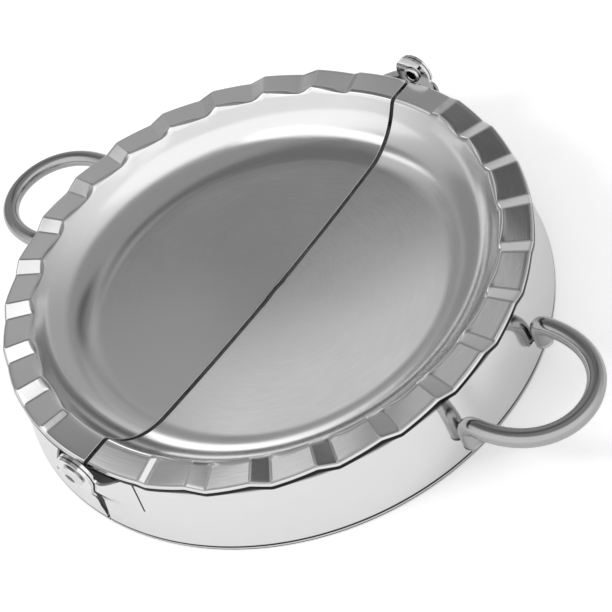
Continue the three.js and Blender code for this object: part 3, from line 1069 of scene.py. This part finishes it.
# The table's own light, which keeps it pale in the picture and in the steel
TABLE_GLOW, REFLECTED_GLOW = 0.3, 0.08
# How far round a spot of the table the press is looked for, and the openness that counts
COVER_REACH = 0.05
COVERED, OPEN = 0.1, 0.3
OPENNESS_SAMPLES = 8
KEY_PLACE, KEY_SIZE, KEY_POWER = (-0.75, -0.9, 1.0), 0.5, 7.5


def add_camera(scene, s):
    flat = math.cos(s.elevation)
    cos, sin = math.cos(s.azimuth), math.sin(s.azimuth)
    back = Vector((sin * flat, -cos * flat, math.sin(s.elevation)))
    level = Vector((cos, sin, 0))
    upright = back.cross(level)
    right = level * math.cos(s.roll) + upright * math.sin(s.roll)
    up = upright * math.cos(s.roll) - level * math.sin(s.roll)
    place = back * s.distance + right * s.aim_right + up * s.aim_up
    place.z += s.aim_height
    data = bpy.data.cameras.new("camera")
    data.lens = s.lens
    data.sensor_width = SENSOR_WIDTH
    data.clip_start = NEAREST
    camera = link(bpy.data.objects.new("camera", data))
    turn = Matrix((right, up, back)).transposed()
    camera.matrix_world = Matrix.Translation(place) @ turn.to_4x4()
    scene.camera = camera


def uncovered(tree):
    """1 on the open table, 0 where the press covers it."""
    node = tree.nodes.new("ShaderNodeAmbientOcclusion")
    node.samples = OPENNESS_SAMPLES
    node.inputs["Distance"].default_value = COVER_REACH
    return Field(tree, node.outputs["AO"]).rises(COVERED, OPEN)


def seen_by(tree, kind):
    """1 for rays of one kind, such as camera rays, and 0 for others."""
    return Field(tree, tree.nodes.new("ShaderNodeLightPath").outputs[f"Is {kind} Ray"])


def add_floor(s):
    r = TABLE_REACH
    corners = [(-r, -r, 0), (r, -r, 0), (r, r, 0), (-r, r, 0)]
    floor = object_from("table", corners, [(0, 1, 2, 3)])
    material = bpy.data.materials.new("pale_table")
    material.use_nodes = True
    tree = material.node_tree
    shader = tree.nodes["Principled BSDF"]
    shader.inputs["Base Color"].default_value = (*s.floor, 1)
    shader.inputs["Roughness"].default_value = TABLE_ROUGHNESS
    shader.inputs["Specular IOR Level"].default_value = 0.0
    glow = seen_by(tree, "Camera") * TABLE_GLOW + seen_by(tree, "Glossy") * REFLECTED_GLOW
    glow = glow * uncovered(tree)
    tree.links.new(glow.socket, shader.inputs["Emission Strength"])
    shader.inputs["Emission Color"].default_value = (1, 1, 1, 1)
    floor.data.materials.append(material)


RIGHT, LEFT, BOTH = ["right_dish"], ["left_dish"], ["left_dish", "right_dish"]
# Where a soft box's back points: up, toward the press's middle, or straight away from it
UP, INWARD, AWAY = (0, 0, 1), (0, -1, 0), None
# Soft boxes: place, where the back points, turn, size, faded share, light, lit pieces
SOFT_BOXES = {
    "strip_box": ((-0.25, -0.1, 0.3), UP, 0, (0.6, 0.1), (0.15, 0.25), 1.15, LEFT),
    "side_box": ((-0.225, 0.008, 0.3), UP, 0, (0.2, 0.05), (0.5, 0.5), 0.75, RIGHT),
    "rim_box": ((-0.088, 0.072, 0.3), UP, 43, (0.17, 0.06), (0.4, 0.5), 0.45, RIGHT),
    "spark_box": ((0.042, 0.055, 0.3), UP, 0, (0.07, 0.07), (0.4, 0.4), 0.9, RIGHT),
    "low_box": ((-0.229, 0.192, 0.07), AWAY, 0, (0.065, 0.16), (0.3, 0.3), 1.25, RIGHT),
    "floor_box": ((-0.081, 0.066, 0.15), UP, -36.5, (0.072, 0.14), (0.78, 0.5), 0.56, RIGHT),
    "end_box": ((-0.37, -0.017, 0.3), UP, -28, (0.16, 0.07), (0.5, 0.5), 0.5, LEFT),
    "facet_box": ((-0.207, 0.116, 0.15), UP, -36.5, (0.15, 0.24), (0.2, 0.3), 0.11, LEFT),
    "left_floor_box": (
        (-0.125, 0.02, 0.15), UP, -36.5, (0.105, 0.105), (0.5, 0.5), 0.09, LEFT,
    ),
    "far_facet_box": (
        (-0.384, 0.187, 0.15), UP, -36.5, (0.18, 0.07), (0.4, 0.4), 0.32, LEFT,
    ),
    "left_ring_box": (
        (-1.022, 0.953, 2.073), AWAY, 0, (0.42, 0.42), (0.8, 0.8), 0.24, LEFT,
    ),
    "left_fill": ((-0.301, 0.521, 0.799), AWAY, 0, (0.45, 0.4), (0.5, 0.5), 0.14, LEFT),
    "ear_box": (
        (0.004, 0.0729, 0.0197), INWARD, 0, (0.022, 0.0054), (0.3, 0.3), 0.4, ["right_band"],
    ),
    "joggle_box": (
        (-0.014, 0.0722, 0.0197), INWARD, 0, (0.02, 0.0054), (0.3, 0.3), 0.3, ["left_band"],
    ),
    "ring_box": ((-0.017, -0.112, 0.15), UP, -57.2, (0.21, 0.75), (0.38, 0.3), 0.28, BOTH),
}


def add_lamps():
    """A key lamp for the table's shadow, and the soft boxes that the steel shows."""
    data = bpy.data.lights.new("key", "AREA")
    data.size = KEY_SIZE
    data.energy = KEY_POWER
    key = link(bpy.data.objects.new("key", data))
    key.location = KEY_PLACE
    key.rotation_euler = key.location.to_track_quat("Z", "Y").to_euler()
    key.visible_camera = False
    key.visible_glossy = False
    for name, (place, back, turn, (width, depth), fades, light, pieces) in SOFT_BOXES.items():
        data = bpy.data.lights.new(name, "AREA")
        data.shape = "RECTANGLE"
        data.size = width
        data.size_y = depth
        data.energy = light * math.pi * width * depth
        data.use_nodes = True
        tree = data.node_tree
        face = tree.nodes.new("ShaderNodeNewGeometry")
        strength = 1.0
        for across, fade in zip(coordinates(tree, face.outputs["Parametric"]), fades):
            inside = (across - 0.5).math("ABSOLUTE") * -2 + 1
            strength = inside.rises(0, fade) * strength
        tree.links.new(strength.socket, tree.nodes["Emission"].inputs["Strength"])
        lamp = link(bpy.data.objects.new(name, data))
        lamp.location = place
        facing = Vector(back or place).to_track_quat("Z", "Y").to_matrix()
        lamp.rotation_euler = (facing @ Matrix.Rotation(math.radians(turn), 3, "Z")).to_euler()
        lamp.visible_camera = False
        lit = bpy.data.collections.new(name)
        for piece in pieces:
            lit.objects.link(bpy.data.objects[piece])
        lamp.light_linking.receiver_collection = lit


def toward(tree, direction, azimuth, off_zenith):
    """How far a direction points along an axis, from -1 to 1."""
    node = tree.nodes.new("ShaderNodeVectorMath")
    node.operation = "DOT_PRODUCT"
    tree.links.new(direction, node.inputs[0])
    flat = math.sin(off_zenith)
    axis = (flat * math.cos(azimuth), flat * math.sin(azimuth), math.cos(off_zenith))
    node.inputs[1].default_value = axis
    return Field(tree, node.outputs["Value"])


# Where the bright side's edge begins and ends, and the light that dull things get
WINDOW_EDGE = (-0.69, 0.57)
ROOM_LIGHT = 0.75
# Grey patches of the room that the steel shows: azimuth, angle from overhead, half the
# width, softness and light
PATCHES = (
    (185, 30, 13, 10, 0.2),
    (150, 28, 14, 5, 0.2),
    (127, 30, 6, 5, 0.13),
    (101, 43, 8, 5, 0.13),
    (160, 80, 16, 5, 0.34),
    (180, 72, 15, 5, 0.34),
    (128, 88, 14, 6, 0.75),
)


def add_world(scene, s):
    """A white room. The steel sees its bright side, its grey ceiling and its patches."""
    world = bpy.data.worlds.new("studio")
    world.use_nodes = True
    tree = world.node_tree
    direction = tree.nodes.new("ShaderNodeTexCoord").outputs["Generated"]

    def cap(azimuth, off_zenith, reach, edge):
        along = toward(tree, direction, azimuth, off_zenith)
        return along.rises(math.cos(reach + edge), math.cos(reach - edge))

    height = toward(tree, direction, 0, 0)
    level = (height * height * -1 + 1.0001).math("SQRT")  # a little off 0 overhead
    window = (toward(tree, direction, s.window_azimuth, QUARTER) / level).rises(*WINDOW_EDGE)
    room = window.pick(s.window_light, window * 0 + s.back_light)
    ceiling = cap(s.ceiling_azimuth, s.ceiling_tilt, s.ceiling_reach, s.ceiling_edge)
    room = ceiling.pick(s.ceiling_light, room)
    for azimuth, off_zenith, reach, edge, light in PATCHES:
        angles = (math.radians(a) for a in (azimuth, off_zenith, reach, edge))
        room = cap(*angles).pick(light, room)
    strength = seen_by(tree, "Camera").pick(1.0, room * 0 + ROOM_LIGHT)
    strength = seen_by(tree, "Glossy").pick(room, strength)
    background = tree.nodes["Background"]
    background.inputs["Color"].default_value = (1, 1, 1, 1)
    tree.links.new(strength.socket, background.inputs["Strength"])
    scene.world = world


class PRESS_PT_panel(bpy.types.Panel):
    """Lists the steps that build the press"""

    bl_label = "Empanada Press"
    bl_idname = "PRESS_PT_panel"
    bl_space_type = "VIEW_3D"
    bl_region_type = "UI"
    bl_category = "Press"

    def draw(self, context):
        for operator in OPERATORS:
            self.layout.operator(operator.bl_idname)
        for group in GROUPS:
            box = self.layout.box()
            settings = getattr(context.scene, group)
            for name in settings.bl_rna.properties.keys():
                if name not in ("rna_type", "name"):
                    box.prop(settings, name)


GROUPS = {
    "press_plate": PRESS_PG_plate,
    "press_wall": PRESS_PG_wall,
    "press_handle": PRESS_PG_handle,
    "press_rivet": PRESS_PG_rivet,
    "press_finish": PRESS_PG_finish,
    "press_stage": PRESS_PG_stage,
}
OPERATORS = (
    PRESS_OT_plates,
    PRESS_OT_walls,
    PRESS_OT_handles,
    PRESS_OT_rivets,
    PRESS_OT_stage,
)


def register():
    for name, group in GROUPS.items():
        bpy.utils.register_class(group)
        setattr(bpy.types.Scene, name, bpy.props.PointerProperty(type=group))
    for item in OPERATORS + (PRESS_PT_panel,):
        bpy.utils.register_class(item)


def unregister():
    for item in reversed(OPERATORS + (PRESS_PT_panel,)):
        bpy.utils.unregister_class(item)
    for name, group in GROUPS.items():
        delattr(bpy.types.Scene, name)
        bpy.utils.unregister_class(group)


def main():
    register()
    bpy.ops.press.plates()
    bpy.ops.press.walls()
    bpy.ops.press.handles()
    bpy.ops.press.rivets()
    bpy.ops.press.stage()


if __name__ == "__main__":
    main()
